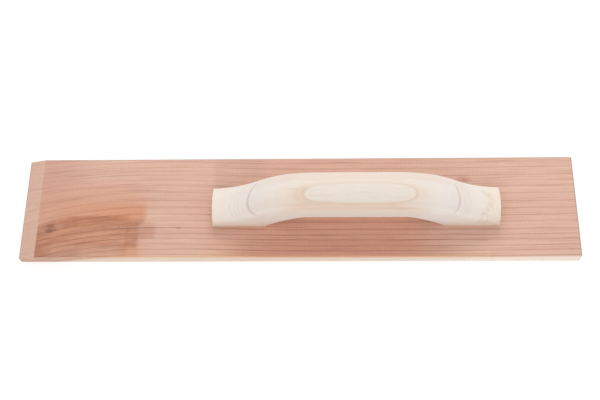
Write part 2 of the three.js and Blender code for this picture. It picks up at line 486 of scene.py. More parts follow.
def growth_lines(wood, x, grain):
    """1 on the dark late wood of each growth ring, towards 0 on its pale early wood."""
    share = wood.math("DIVIDE", wood.plus(grain, GRAIN_SPAN), 2 * GRAIN_SPAN)
    counter = wood.add("ShaderNodeFloatCurve")
    line = counter.mapping.curves[0]
    rings = len(GROWTH_LINES) - 1
    for index, position in enumerate(GROWTH_LINES):
        at = ((position + GRAIN_SPAN) / (2 * GRAIN_SPAN), index / rings)
        if index == 0:
            line.points[0].location = at
        elif index == rings:
            line.points[-1].location = at
        else:
            line.points.new(*at)
    for point in line.points:
        point.handle_type = "VECTOR"
    counter.mapping.update()
    wood.feed(counter.inputs["Value"], share)
    number = wood.times(counter.outputs[0], rings)
    late = wood.ramp(wood.math("FRACT", number), RING_PROFILE)
    weight = wood.ramp(grain, LINE_STRENGTH, -GRAIN_SPAN, GRAIN_SPAN)
    along = wood.noise((x, grain, grain), (48.0, 6.0, 6.0), detail=3.0, shift=3.0)
    return wood.times(late, weight, wood.fade(along, -0.45, 0.4, 0.7, 1.35))


def wandering_lines(wood, x, grain, spacing, width, shift):
    """Thin lines that wander along the grain about a spacing apart, where a noise crosses 0."""
    field = wood.noise((x, grain, grain), (260.0, spacing, 1000.0), detail=0.0, shift=shift)
    line = wood.fade(wood.math("ABSOLUTE", field), width, 0.0)
    along = wood.noise((x, grain, grain), (35.0, 3.0, 3.0), shift=shift + 1.0)
    return wood.times(line, wood.fade(along, -0.3, 0.35))


def fine_lines(wood, x, grain):
    """Two sets of fine dark lines between the growth lines."""
    wide = wandering_lines(wood, x, grain, spacing=2.6, width=0.12, shift=21.0)
    narrow = wandering_lines(wood, x, grain, spacing=1.3, width=0.14, shift=27.0)
    return wood.math("MAXIMUM", wide, wood.times(narrow, 0.6))


def patch(wood, x, y, left, right, front, back, soft):
    """1 inside a rectangle on the blade's top, fading to 0 over a soft margin."""
    return wood.times(
        wood.span(x, left - soft, left + soft, right - soft, right + soft),
        wood.span(y, front - soft, front + soft, back - soft, back + soft),
    )


def oval(wood, x, y, at_x, at_y, half_length, half_width, strength):
    """The strength at a place on the blade's top, fading to 0 at the edge of an ellipse."""
    along = wood.math("DIVIDE", wood.math("SUBTRACT", x, at_x), half_length)
    across = wood.math("DIVIDE", wood.math("SUBTRACT", y, at_y), half_width)
    away = wood.plus(wood.times(along, along), wood.times(across, across))
    return wood.times(wood.fade(away, 1.0, 0.0), strength)


def soaked_patches(wood, x, y, mottle, grit, edge_x, edge_y):
    """How deeply each place is soaked, from 0 to 1, and the sum of its wet patches."""
    past = wood.below(x, -184.0)
    lifted = wood.plus(edge_y, wood.times(past, past, 0.0085))
    right_corner = wood.fade(wood.plus(x, wood.times(y, -1.6)), -92.0, -78.0, 1.0, 0.35)
    body = wood.times(patch(wood, edge_x, lifted, *STAIN_BODY), right_corner)
    rim = wood.times(
        wood.fade(x, -199.0, -190.0), wood.fade(edge_x, -133.5, -142.0),
        wood.span(lifted, *RIM_STRIP),
    )
    tail, block, streaks = (
        patch(wood, edge_x, edge_y, *where) for where in (STAIN_TAIL, STAIN_BLOCK, STAIN_STREAKS)
    )
    corner = patch(wood, x, y, *STAIN_CORNER)
    clear = patch(wood, x, wood.plus(y, wood.times(x, CLEAR_SLANT)), *STAIN_CLEAR)
    soak = wood.weighted(
        (body, wood.plus(0.47, wood.weighted((mottle, 0.3), (grit, 0.14)))),
        (rim, wood.plus(0.3, wood.weighted((mottle, 0.05), (grit, 0.08)))),
        (tail, 0.3), (block, 0.56), (streaks, 0.26),
        (wood.times(corner, body), 0.3), (wood.times(clear, body), -0.3),
    )
    return wood.math("MINIMUM", soak, MOST_SOAKED), wood.plus(body, block, streaks, tail)


def stain(wood, x, y, z, grain, colour, late):
    """Water soaked into the old top face near the bevel, in patches with darker rims."""
    spot, fibres = (x, y, z), (x, grain, z)
    blot = wood.noise(spot, (9.0, 3.0, 3.0), detail=4.0, roughness=0.65, shift=4.0)
    mottle = wood.noise(fibres, (9.0, 1.5, 9.0), detail=3.0, roughness=0.6, shift=8.0)
    grit = wood.noise(spot, (3.2, 1.7, 3.0), roughness=0.6, shift=17.0)
    bleed = wood.noise(fibres, (24.0, 5.0, 9.0), shift=19.0)
    edge_x = wood.plus(x, wood.times(blot, 3.0))
    edge_y = wood.plus(y, wood.times(blot, 1.8))
    on_top = wood.times(
        wood.fade(z, BLADE_TOP - 0.5, BLADE_TOP - 0.2),
        wood.fade(x, BEVEL_LINE - 0.6, BEVEL_LINE + 0.5),
    )

    # An orange tint reaches past the soaked patches.
    haze = wood.times(wood.span(x, *HAZE_SPAN), wood.fade(y, 30.0, 4.0))
    orange = wood.times(
        wood.fade(x, -206.0, -146.0, 0.12, 1.0), wood.fade(edge_x, -122.5, -128.5),
        wood.fade(edge_y, 6.5, -1.0), wood.fade(y, -16.0, -8.0),
    )
    foot = patch(wood, edge_x, edge_y, *STAIN_FOOT)
    for mask, share in ((haze, 0.42), (orange, 0.72), (foot, 0.5)):
        colour = wood.tint(colour, STAIN_ORANGE, on_top, mask, share=share)

    soak, wet = soaked_patches(wood, x, y, mottle, grit, edge_x, edge_y)
    soaked = wood.mix(wood.fade(bleed, -0.1, 0.35, 0.0, BLEED_ORANGE), STAIN, STAIN_ORANGE)
    soaked = wood.mix(wood.fade(bleed, -0.05, -0.35, 0.0, BLEED_GREY), soaked, STAIN_GREY)
    colour = wood.tint(colour, soaked, on_top, soak)

    # The growth lines are darker where the wood is wet, and a few dark spots lie on the stain.
    tinted = wood.times(wood.plus(orange, foot), TINTED_WET)
    wet = wood.math("MINIMUM", wood.plus(wet, tinted), 1.0)
    colour = wood.tint(colour, STAIN_SPOT, late, wet, on_top, share=0.28)
    spots = wood.plus(*[oval(wood, edge_x, edge_y, *place) for place in STAIN_SPOTS])
    uneven = wood.plus(SPOT_SOAK, wood.times(mottle, SPOT_MOTTLE))
    return wood.tint(colour, STAIN_SPOT, on_top, spots, uneven)


def front_edge(wood, x, y, z, grain, streak, colour):
    """Sapwood where the grain leaves the front edge, and a golden band along that edge's top."""
    sap_edge = wood.plus(grain, wood.times(streak, 0.5))
    sapwood = wood.fade(sap_edge, SAPWOOD_START + 1.0, SAPWOOD_START - 2.4)
    sap_colour = wood.mix(wood.fade(x, -60.0, 200.0), SAPWOOD, SAPWOOD_PALE)
    colour = wood.tint(colour, sap_colour, sapwood, share=0.9)
    upper = wood.fade(z, BLADE_TOP - 4.5, BLADE_TOP - 0.5)
    outer = wood.fade(y, BLADE_LOW.y + 1.4, BLADE_LOW.y + 0.4)
    return wood.tint(colour, GOLDEN, upper, outer, wood.span(x, *GOLDEN_SPAN), share=0.6)


def small_marks(wood, x, y, z, colour):
    """Marks on the top: a washed strip in front of the stain, a dark dash and a rusty fleck."""
    strip = wood.span(y, *WASHED_STRIP)
    colour = wood.tint(colour, WASHED, wood.span(x, *WASHED_SPAN), strip, share=0.15)
    upper = wood.fade(z, BLADE_TOP - 1.5, BLADE_TOP - 0.5)
    colour = wood.tint(colour, LATEWOOD, oval(wood, x, y, *DARK_DASH), upper)
    rust = wood.plus(*[oval(wood, x, y, *mark) for mark in RUST_MARKS])
    return wood.tint(colour, STAIN, rust, upper)


def cut_faces(wood, x, y, depth, gain, colour):
    """The bevel is paler, as fresher wood and painted light; the arrises, ends and back edge are
    darker.
    """
    on_bevel = wood.times(
        wood.fade(x, BEVEL_LINE + 0.2, BEVEL_LINE - 0.6),
        wood.fade(depth, -BEVEL_DROP - 0.8, -BEVEL_DROP - 0.3),
    )
    # The paler bevel is partly fresher wood and partly painted light where it faces away from the
    # lamps.
    colour = wood.brighten(wood.tint(colour, FRESH_CUT_AND_LIGHT, on_bevel, share=0.8), gain)
    # The arrises, the cut ends and the back edge are drawn darker.
    colour = wood.tint(colour, DARK_EDGE_TONE, wood.edge(radius=0.8), share=0.3)
    ends = wood.plus(
        wood.fade(x, BLADE_HIGH.x - 1.1, BLADE_HIGH.x - 0.3),
        wood.fade(x, BLADE_LOW.x + 0.9, BLADE_LOW.x + 0.2),
        wood.fade(y, BLADE_HIGH.y - 0.8, BLADE_HIGH.y - 0.2),
    )
    return wood.tint(colour, DARK_EDGE_TONE, wood.math("MINIMUM", ends, 1.0), share=0.7)


def blade_wood():
    wood = Shader("redwood")
    x, y, z = wood.place()
    depth = wood.math("SUBTRACT", z, BLADE_TOP)
    grain = blade_grain(wood, x, y, z, depth)
    fibres = (x, grain, z)
    late = growth_lines(wood, x, grain)
    fine = fine_lines(wood, x, grain)
    streak = wood.noise(fibres, (42.0, 0.9, 12.0), roughness=0.6)

    # Broad colour drifts, painted warm shade around the handle and duller by the bevel.
    drift = wood.fade(wood.noise(fibres, (95.0, 9.0, 12.0), shift=11.0), -0.4, 0.4)
    colour = wood.mix(drift, EARLYWOOD, EARLYWOOD_TAN)
    handle_shade_zone = wood.times(wood.span(x, *HANDLE_SHADE_SPAN), wood.fade(z, BLADE_TOP - 3.0, BLADE_TOP))
    # Painted warm shade on the blade around the handle, strongest in front of it.
    painted_warm_shade = wood.times(handle_shade_zone, wood.fade(y, 40.0, -10.0, 0.15, 0.5))
    colour = wood.mix(painted_warm_shade, colour, EARLYWOOD_IN_WARM_SHADE)
    # Painted shadow of the grip on the blade in front of it.
    grip_shadow = wood.times(handle_shade_zone, wood.fade(y, -24.0, -32.0))
    colour = wood.tint(colour, PAINTED_GRIP_SHADOW, grip_shadow, share=0.25)
    colour = wood.tint(colour, EARLYWOOD_DULL, wood.fade(x, -150.0, -208.0), share=0.5)

    # The growth lines, weaker towards both ends, and the finer lines between them.
    line_depth = wood.times(
        wood.fade(x, 120.0, 200.0, 0.67, 0.55), wood.fade(x, -20.0, -95.0, 1.0, 0.68),
    )
    colour = wood.tint(colour, LATEWOOD, late, line_depth, share=0.8)
    colour = wood.tint(colour, LATEWOOD, fine, share=0.3)

    # Light and dark: bands and fibres of the grain, the plane's ticks, a painted shadow before the
    # left foot and painted light around the handle.
    band = wood.noise(fibres, (130.0, 2.4, 20.0), detail=1.0, shift=13.0)
    fibre = wood.noise(fibres, (14.0, 0.4, 6.0), roughness=0.6, shift=6.0)
    fleck = wood.noise(fibres, (3.0, 1.4, 1.4), shift=5.0)
    planed = wood.fade(wood.noise((x, y, z), (60.0, 20.0, 20.0), shift=9.0), -0.2, 0.3, 0.2, 1.0)
    pulse = wood.plus(wood.times(x, 2 * math.pi / TICK_PITCH), wood.times(fleck, 1.2))
    ticks = wood.times(wood.math("SINE", pulse), planed)
    # Painted contact shadow before the left foot, and painted light that lifts the shade around the
    # handle.
    contact_shadow = wood.times(wood.span(x, *CONTACT_SHADOW_SPAN), wood.fade(y, -24.0, -20.0))
    painted_light_by_handle = wood.times(handle_shade_zone, wood.fade(y, -29.0, -22.0))
    gain = wood.plus(wood.fade(x, 60.0, 200.0, 1.0, 1.035), wood.weighted(
        (band, 0.05), (streak, 0.12), (fibre, 0.12), (fleck, 0.06), (ticks, 0.055),
        (wood.times(late, line_depth), -0.16), (fine, -0.07), (contact_shadow, -0.09), (painted_light_by_handle, 0.045),
    ))

    colour = front_edge(wood, x, y, z, grain, streak, colour)
    colour = stain(wood, x, y, z, grain, colour, late)
    colour = small_marks(wood, x, y, z, colour)
    colour = cut_faces(wood, x, y, depth, gain, colour)
    wood.bump(wood.weighted((streak, 0.5), (late, 0.8), (ticks, 0.12)), distance=0.09)
    rough = wood.plus(0.62, wood.weighted((streak, 0.06), (late, -0.08)))
    return wood.finish(colour, rough, specular=0.25)


# ---- Handle material: pale hardwood whose flat growth layers show as ovals and arcs

# Growth layers, by their height in mm at the handle's middle.
LAYER_SPAN = 56.0
FAINT_LAYERS = (14.0, 15.7, 17.5, 19.7)
ARC_LAYER = 23.5
JOIN_LAYER = (30.5, 31.5)
OVAL_LAYER = 46.6

# How the layers bend away from level.
LEAN, TILT, CURVE, WANDER = -0.241, 0.0135, -0.0009, 0.25
BEND_START, RIGHT_BEND, LEFT_BEND = 55.0, -0.13, 0.09
BACK_BEND, FRONT_BEND = -0.09, -0.09

# Spans as on the blade: along the handle, up its front for the painted shade and out from the knot.
LEFT_FRONT_SPAN = (-92.0, -72.0, -56.0, -40.0)
FRONT_SHADE_RISE = (19.0, 23.0, 34.0, 39.0)
KNOT_RING = (9.5, 13.0, 15.0, 19.0)
KNOT_PLACE = (94.0, -2.0)  # along and across the handle

CREAM = srgb(223, 213, 205)
CREAM_WARM = srgb(222, 208, 195)
CREAM_COOL = srgb(221, 213, 207)
OVAL_CREAM = srgb(220, 209, 198)
OVAL_TAN = srgb(216, 194, 177)
OVAL_LINE = srgb(208, 188, 168)
OVAL_PINK = srgb(214, 189, 170)
GRIP_BACK = srgb(219, 203, 191)
GRIP_SHADE = srgb(214, 196, 178)
TAN_LINE = srgb(206, 180, 156)
ARC_LINE = srgb(204, 188, 181)
FAINT_LINE = srgb(217, 206, 197)
YELLOWED_AND_REFLECTED = srgb(226, 209, 190)
KNOT_TAN = srgb(208, 182, 156)


def handle_layers(wood, spot, u, v, h):
    """The growth layer through a point, by its height at the handle's middle.

    The layers lie almost flat: they tip down to the front and rise towards both ends.
    """
    bend = wood.weighted(
        (u, TILT), (wood.times(u, u), CURVE),
        (wood.above(u, BEND_START), RIGHT_BEND), (wood.below(u, -BEND_START), LEFT_BEND),
    )
    wander = wood.times(wood.noise(spot, (24.0, 9.0, 9.0)), WANDER)
    to_back = wood.above(v, -2.0)
    steeper = wood.times(to_back, to_back, wood.fade(h, 38.0, 44.0, 0.0, BACK_BEND))
    to_front = wood.below(v, -9.0)
    rounder = wood.times(to_front, to_front, wood.fade(h, 34.0, 40.0, 0.0, FRONT_BEND))
    return wood.plus(h, wood.times(v, LEAN), bend, steeper, rounder, wander)


def layer_colours(wood, layer):
    """The colour of each growth layer: faint lines and an arc below, an oval's boundary above."""
    lower = [(0.0, CREAM)]
    for level in FAINT_LAYERS:
        lower += [(level - 0.6, CREAM), (level, FAINT_LINE), (level + 0.5, CREAM)]
    lower += [
        (ARC_LAYER - 1.3, CREAM), (ARC_LAYER - 0.3, ARC_LINE), (ARC_LAYER + 0.2, ARC_LINE),
        (ARC_LAYER + 1.0, CREAM_COOL), (32.0, CREAM_COOL),
    ]
    upper = [
        (30.0, CREAM_COOL), (37.0, CREAM), (OVAL_LAYER - 4.0, CREAM_WARM),
        (OVAL_LAYER - 1.8, OVAL_TAN), (OVAL_LAYER - 0.9, OVAL_TAN),
        (OVAL_LAYER - 0.4, OVAL_LINE), (OVAL_LAYER + 0.2, OVAL_CREAM), (LAYER_SPAN, OVAL_CREAM),
    ]
    ramps = [wood.ramp(layer, stops, 0.0, LAYER_SPAN) for stops in (lower, upper)]
    return wood.mix(wood.fade(layer, *JOIN_LAYER), *ramps)


def grip_shades(wood, spot, u, v, h, layer, colour):
    """Tints that differ between the grip's front, back, ends and shoulders, with painted shade low on
    its front.
    """
    out = wood.math("ABSOLUTE", u)
    on_grip = wood.fade(out, 66.0, 44.0)
    upper_layers = wood.fade(layer, 36.0, 40.0)
    colour = wood.tint(colour, CREAM_COOL, wood.fade(out, 82.0, 74.0), wood.fade(layer, 31.0, 28.0))
    colour = wood.tint(colour, OVAL_CREAM, wood.fade(v, -3.0, 3.0), upper_layers, share=0.5)
    colour = wood.tint(
        colour, OVAL_PINK, on_grip, wood.fade(v, -11.0, -13.2), wood.fade(h, 34.0, 38.0),
        wood.fade(layer, OVAL_LAYER - 0.2, OVAL_LAYER - 1.2), share=0.8,
    )
    right_end = wood.fade(u, 26.0, 46.0)
    outside_oval = wood.fade(layer, OVAL_LAYER - 0.2, OVAL_LAYER - 1.0)
    colour = wood.tint(colour, CREAM, right_end, upper_layers, outside_oval, share=0.5)
    left_front = wood.times(wood.span(u, *LEFT_FRONT_SPAN), wood.fade(v, -4.0, -10.0))
    colour = wood.tint(colour, OVAL_TAN, left_front, share=0.3)
    # Painted shade on the lower front side of the grip.
    low_front = wood.times(wood.fade(v, -11.0, -13.0), wood.span(h, *FRONT_SHADE_RISE))
    colour = wood.tint(colour, GRIP_SHADE, on_grip, low_front, share=0.55)
    upper_back = wood.times(wood.fade(v, 3.0, 8.0), wood.fade(h, 22.0, 32.0))
    colour = wood.tint(colour, GRIP_BACK, wood.fade(out, 92.0, 56.0), upper_back)
    dash = wood.fade(wood.noise(spot, (34.0, 1.1, 5.0), shift=23.0), 0.12, 0.5)
    return wood.tint(colour, TAN_LINE, on_grip, dash, wood.fade(layer, 34.0, 40.0), share=0.5)


def toe_marks(wood, spot, u, v, colour):
    """A knotty swirl at the +X toe, and toes that have yellowed."""
    along, across = (wood.math("SUBTRACT", a, at) for a, at in zip((u, v), KNOT_PLACE))
    away = wood.math("SQRT", wood.plus(wood.times(along, along), wood.times(across, across)))
    swirl = wood.noise(spot, (4.2, 4.2, 4.2), detail=3.0, roughness=0.6, shift=2.4)
    colour = wood.tint(
        colour, KNOT_TAN, wood.span(away, *KNOT_RING), wood.fade(u, 97.0, 102.0),
        wood.fade(v, 11.0, 6.0), wood.fade(swirl, -0.25, 0.25), share=0.55,
    )
    swirled = wood.fade(swirl, 0.3, -0.4)
    colour = wood.tint(colour, YELLOWED_AND_REFLECTED, wood.fade(u, 98.0, 114.0), swirled, share=0.6)
    toe_ends = wood.fade(wood.math("ABSOLUTE", u), 100.0, 114.0)
    colour = wood.tint(colour, YELLOWED_AND_REFLECTED, toe_ends, share=0.35)
    low_front = wood.times(wood.fade(u, 92.0, 104.0), wood.fade(v, -5.0, -11.0))
    return wood.tint(colour, KNOT_TAN, low_front, wood.fade(swirl, -0.3, 0.3), share=0.35)


def handle_wood():
    wood = Shader("pale_hardwood")
    spot = wood.place()
    x, y, z = spot
    u = wood.math("SUBTRACT", x, HANDLE_MIDDLE.x)
    v = wood.math("SUBTRACT", y, HANDLE_MIDDLE.y)
    h = wood.math("SUBTRACT", z, BLADE_TOP)
    layer = handle_layers(wood, spot, u, v, h)
    colour = layer_colours(wood, layer)
    colour = grip_shades(wood, spot, u, v, h, layer, colour)

    # Fibres, flecks and slow mottling.
    fibre = wood.noise(spot, (18.0, 0.5, 0.5), detail=3.0, roughness=0.6)
    fleck = wood.noise(spot, (3.2, 1.0, 1.0), shift=6.0)
    mottle = wood.noise(spot, (14.0, 6.0, 6.0), detail=3.0, shift=1.5)
    layered = wood.noise((layer, v, u), (0.8, 9.0, 9.0), detail=1.0, shift=3.0)
    uneven = wood.weighted((fibre, 0.04), (fleck, 0.03), (mottle, 0.04), (layered, 0.03))
    colour = wood.brighten(colour, wood.plus(wood.fade(u, 20.0, 90.0, 1.0, 1.03), uneven))
    warmth = wood.noise(spot, (22.0, 5.0, 5.0), shift=14.0)
    colour = wood.tint(colour, CREAM_WARM, wood.fade(warmth, 0.0, 0.6), share=0.3)
    colour = toe_marks(wood, spot, u, v, colour)

    # Painted warm reflection and shade from the red blade on the lower sides, and the arrises have
    # darkened a little.
    colour = wood.tint(colour, YELLOWED_AND_REFLECTED, wood.fade(h, 11.0, 2.0), share=0.75)
    colour = wood.tint(colour, TAN_LINE, wood.edge(radius=0.7), share=0.25)
    wood.bump(wood.weighted((fibre, 0.6), (fleck, 0.4)), distance=0.035)
    rough = wood.plus(0.55, wood.weighted((mottle, 0.05), (fibre, 0.04)))
    return wood.finish(colour, rough, specular=0.3)


# ---- Screw material: zinc-plated steel

ZINC = srgb(176, 178, 180)
TARNISHED = srgb(140, 138, 132)
WORN_BRIGHT = srgb(214, 214, 214)


def screw_steel():
    steel = Shader("zinc_steel")
    spot = steel.place()
    brushed = steel.noise(spot, (0.25, 0.25, 2.0))
    tarnish = steel.fade(steel.noise(spot, (1.6, 1.6, 1.6), detail=3.0, shift=2.0), -0.2, 0.6)
    colour = steel.mix(tarnish, ZINC, TARNISHED)
    colour = steel.tint(colour, WORN_BRIGHT, steel.edge(radius=0.2), share=0.4)
    steel.feed_all(steel.surface.inputs, Metallic=1.0)
    steel.bump(brushed, distance=0.01)
    rough = steel.plus(0.32, steel.weighted((brushed, 0.06), (tarnish, 0.18)))
    return steel.finish(colour, rough, specular=0.5)


# ---- Screws and the holes they leave

def screw_place(node):
    """The centre of a screw's head face, its head radius and its length."""
    low, high = (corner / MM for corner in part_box(node))
    middle = (low + high) / 2
    return Vector((middle.x, middle.y, low.z)), (high.x - low.x) / 2, high.z - low.z


def thread_radius(height, length):
    """The radius around the screw at a height on its threaded part, as a function of angle."""
    taper = min(1.0, (length - height) / POINT_LENGTH)
    run_in = min(1.0, (height - SHANK_LENGTH) / THREAD_PITCH)
    core = max(CORE_RADIUS * taper, POINT_RADIUS)
    # The thread stays full for longer than the core as both run out to the point.
    ridge = (SHANK_RADIUS - CORE_RADIUS) * run_in * min(1.0, taper * 1.6)

    def radius_at(angle):
        turn = (height / THREAD_PITCH - angle / (2 * math.pi)) % 1.0
        return core + ridge * max(0.0, 1.0 - abs(turn - 0.5) / THREAD_WIDTH)
    return radius_at


def make_screw(node, material):
    """One wood screw: a countersunk head with a cross recess, a shank and a threaded point."""
    place, head_radius, length = screw_place(node)
    # The profile from the head's face to where the thread starts.
    rings = [
        (head_radius - HEAD_EASE, 0.0),
        (head_radius, HEAD_EASE),
        (head_radius, HEAD_RIM),
        (SHANK_RADIUS + NECK_FLARE, HEAD_DEPTH - 0.1),
        (SHANK_RADIUS, HEAD_DEPTH + 0.3),
        (SHANK_RADIUS, SHANK_LENGTH - 0.6),
        (CORE_RADIUS + 0.05, SHANK_LENGTH),
    ]
    threaded = length - SHANK_LENGTH
    steps = int(threaded / THREAD_STEP)
    for index in range(1, steps + 1):
        height = SHANK_LENGTH + threaded * index / steps
        rings.append((thread_radius(height, length), height))
    piece = turned(node + "_fine", rings, place, SCREW_SEGMENTS)
    cut_away(piece, [recess_cutter(place)])
    shade(piece, angle=40.0)
    attach(piece, node, material)


def recess_cutter(place):
    """A tapering cross, for the driver's recess."""
    bm = bmesh.new()
    half, bar = RECESS_SPAN / 2, RECESS_BAR / 2
    outline = (
        (half, bar), (bar, bar), (bar, half), (-bar, half), (-bar, bar), (-half, bar),
        (-half, -bar), (-bar, -bar), (-bar, -half), (bar, -half), (bar, -bar), (half, -bar),
    )
    loops = []
    for height, size in ((-0.6, RECESS_MOUTH), (RECESS_DEPTH, RECESS_FLOOR)):
        loop = [bm.verts.new(Vector((a * size, b * size, height)) + place) for a, b in outline]
        loops.append(loop)
    return closed_stack("recess_cutter", bm, loops)


def hole_cutter(node, into_handle):
    """The hole for one screw: a clearance hole with a countersink, or a pilot hole.

    Each open end lies outside the wood, so that the cut goes right through its face.
    """
    place, head_radius, length = screw_place(node)
    if into_handle:
        rings = [
            (CORE_RADIUS + HOLE_GAP, SHANK_LENGTH - 4.0),
            (CORE_RADIUS + HOLE_GAP, length - POINT_LENGTH),
            (HOLE_GAP, length + HOLE_GAP),
        ]
    else:
        mouth = head_radius + HOLE_GAP
        rings = [
            (mouth, -place.z - 1.0),
            (mouth, HEAD_RIM),
            (SHANK_RADIUS + HOLE_GAP, HEAD_DEPTH + HOLE_GAP),
            (SHANK_RADIUS + HOLE_GAP, BLADE_TOP + 1.0),
        ]
    # Half a step of turn keeps the hole's corners off the middle line of the handle's mesh.
    return turned("hole_cutter", rings, place, HOLE_SEGMENTS, turn=0.5)


# ---- Blade

def make_blade(material):
    """The board, with one end bevelled, its arrises eased and its screw holes countersunk."""
    outline = (
        (BLADE_LOW.x, BLADE_LOW.z),
        (BLADE_HIGH.x, BLADE_LOW.z),
        (BLADE_HIGH.x, BLADE_TOP),
        (BEVEL_LINE, BLADE_TOP),
        (BLADE_LOW.x, BLADE_TOP - BEVEL_DROP),
    )
    bm = bmesh.new()
    ends = (BLADE_LOW.y, BLADE_HIGH.y)
    sides = [[bm.verts.new((x, y, z)) for x, z in outline] for y in ends]
    ring_faces(bm, sides[0], sides[1])
    for side in sides:
        bm.faces.new(side)
    piece = new_piece("blade_fine", bm)
    ease_edges(piece, BLADE_ARRIS, angle=10.0)
    cut_away(piece, [hole_cutter(node, into_handle=False) for node in SCREWS])
    shade(piece, angle=30.0)
    attach(piece, "blade", material)


# ---- Handle

def bezier(first, first_handle, second_handle, second):
    """Points along one cubic curve."""
    t = np.linspace(0.0, 1.0, CURVE_POINTS)[:, None]
    spots = [np.array(spot) for spot in (first, first_handle, second_handle, second)]
    return (
        (1 - t) ** 3 * spots[0] + 3 * (1 - t) ** 2 * t * spots[1]
        + 3 * (1 - t) * t ** 2 * spots[2] + t ** 3 * spots[3]
    )


def inset(line, distance):
    """The line moved to its right-hand side, seen along its direction, by a distance."""
    along = np.gradient(line, axis=0)
    across = np.stack([along[:, 1], -along[:, 0]], axis=1)
    return line + distance * across / np.linalg.norm(across, axis=1)[:, None]


def top_line():
    """Half of the handle's top line, from the middle of the grip to beyond the toe."""
    sweep = bezier(
        (GRIP_HALF_FLAT, GRIP_HEIGHT),
        (GRIP_HALF_FLAT + SHOULDER_REACH, GRIP_HEIGHT),
        (HALF_LENGTH - TOE_REACH, TOE_HEIGHT + TOE_RISE),
        (HALF_LENGTH, TOE_HEIGHT),
    )
    beyond = sweep[-1] + (sweep[-1] - sweep[-2]) * TOE_OVERRUN
    flat = np.linspace((0.0, GRIP_HEIGHT), (GRIP_HALF_FLAT, GRIP_HEIGHT), FLAT_POINTS)[:-1]
    return np.vstack([flat, sweep, beyond])


def opening_line():
    """Half of the hand opening's line, from the middle to below the foot's inner corner."""
    flank = bezier(
        (OPENING_HALF_LENGTH, 0.0),
        (OPENING_HALF_LENGTH - OPENING_FOOT_REACH, OPENING_FOOT_REACH),
        (OPENING_HALF_FLAT + OPENING_SHOULDER, OPENING_HEIGHT),
        (OPENING_HALF_FLAT, OPENING_HEIGHT),
    )
    below = flank[0] + (flank[0] - flank[1]) * FOOT_OVERRUN
    level = (OPENING_HALF_FLAT, OPENING_HEIGHT), (0.0, OPENING_HEIGHT)
    flat = np.linspace(*level, FLAT_POINTS)[1:]
    return np.vstack([below, flank, flat])[::-1]


class HandleShape:
    """Heights of the handle's top and underside after rounding, by place along and across it."""

    def __init__(self):
        self.top = top_line()
        self.opening = opening_line()

    def top_height(self, u, drop):
        """The top's height where rounding has taken drop off it, square to its line."""
        line = inset(self.top, drop)
        return float(np.interp(abs(u), line[:, 0], line[:, 1]))

    def opening_curve(self, round_off):
        return inset(self.opening, -round_off)

    def underside(self, u, round_off):
        line = self.opening_curve(round_off)
        height = float(np.interp(abs(u - OPENING_MIDDLE), line[:, 0], line[:, 1]))
        return max(height, 0.0)

    def foot_corner(self, round_off):
        """How far from the opening's middle the rounded underside comes down to the blade."""
        line = self.opening_curve(round_off)
        return float(np.interp(0.0, line[::-1, 1], line[::-1, 0]))


def half_section():
    """Rows from the middle of the underside round one side to the crest: (v, kind, offset)."""
    rows = [(HALF_WIDTH * share, "under", 0.0) for share in (0.0, 0.3, 0.6)]
    for step in range(ROUND_STEPS + 1):
        angle = math.radians(90) * step / ROUND_STEPS
        v = HALF_WIDTH - OPENING_ROUND * (1 - math.sin(angle))
        rows.append((v, "under", OPENING_ROUND * (1 - math.cos(angle))))
    rows += [(HALF_WIDTH, "side", share) for share in (0.35, 0.7)]
    reach = HALF_WIDTH - DOME_CREST
    for step in range(DOME_STEPS + 1):
        angle = math.radians(90) * (1 - step / DOME_STEPS)
        v = DOME_CREST + reach * math.sin(angle)
        rows.append((v, "top", DOME_DROP * (1 - math.cos(angle))))
    rows.append((0.0, "top", 0.0))
    return rows


def handle_stations(shape):
    """Places along the handle for its cross-sections, with one on each foot's inner corner."""
    corner = shape.foot_corner(0.0)
    exact = [-HALF_LENGTH, OPENING_MIDDLE - corner, OPENING_MIDDLE + corner, HALF_LENGTH]
    stations = []
    for start, end in zip(exact, exact[1:]):
        count = max(2, round((end - start) / STATION_SPACING))
        stations += [start + (end - start) * i / count for i in range(count)]
    return stations + [HALF_LENGTH]


def nearness(distance, reach):
    """1 at no distance, easing to 0 at reach."""
    share = max(0.0, 1.0 - abs(distance) / reach)
    return share * share * (3 - 2 * share)


def toe_inset(v):
    """How far the toe's plan outline falls short of its full length, across the toe."""
    bulge = TOE_BULGE * (v / HALF_WIDTH) ** 2
    into_corner = max(0.0, abs(v) - (HALF_WIDTH - TOE_CORNER))
    corner = TOE_CORNER - math.sqrt(max(0.0, TOE_CORNER ** 2 - into_corner ** 2))
    return bulge + corner


def toe_lean(height):
    """How far a toe end leans out at a height above the blade."""
    return TOE_SPLAY * (1 - height / TOE_HEIGHT)


def toe_face(bm, loop, rows, sign):
    """Closes a toe with a grid across its end, from the base's edge up to the crest."""
    under = [index for index, (_, kind, _) in enumerate(rows) if kind == "under"]
    total = len(loop)

    def mirror(index):
        return loop[(total - index) % total]
    lower = [mirror(index) for index in reversed(under[1:])] + [loop[index] for index in under]
    shares = [(spot.co.y - HANDLE_MIDDLE.y) / HALF_WIDTH for spot in lower]
    for index in range(len(under), len(rows) - 1):
        reach = rows[index][0]
        lean = toe_lean(loop[index].co.z - BLADE_TOP)
        upper = [mirror(index)]
        for share in shares[1:-1]:
            v = share * reach
            x = HANDLE_MIDDLE.x + sign * (HALF_LENGTH - toe_inset(v) + lean)
            upper.append(bm.verts.new((x, HANDLE_MIDDLE.y + v, loop[index].co.z)))
        upper.append(loop[index])
        for i in range(len(shares) - 1):
            bm.faces.new((lower[i], lower[i + 1], upper[i + 1], upper[i]))
        lower = upper
    crest = loop[len(rows) - 1]
    for i in range(len(shares) - 1):
        bm.faces.new((lower[i], lower[i + 1], crest))


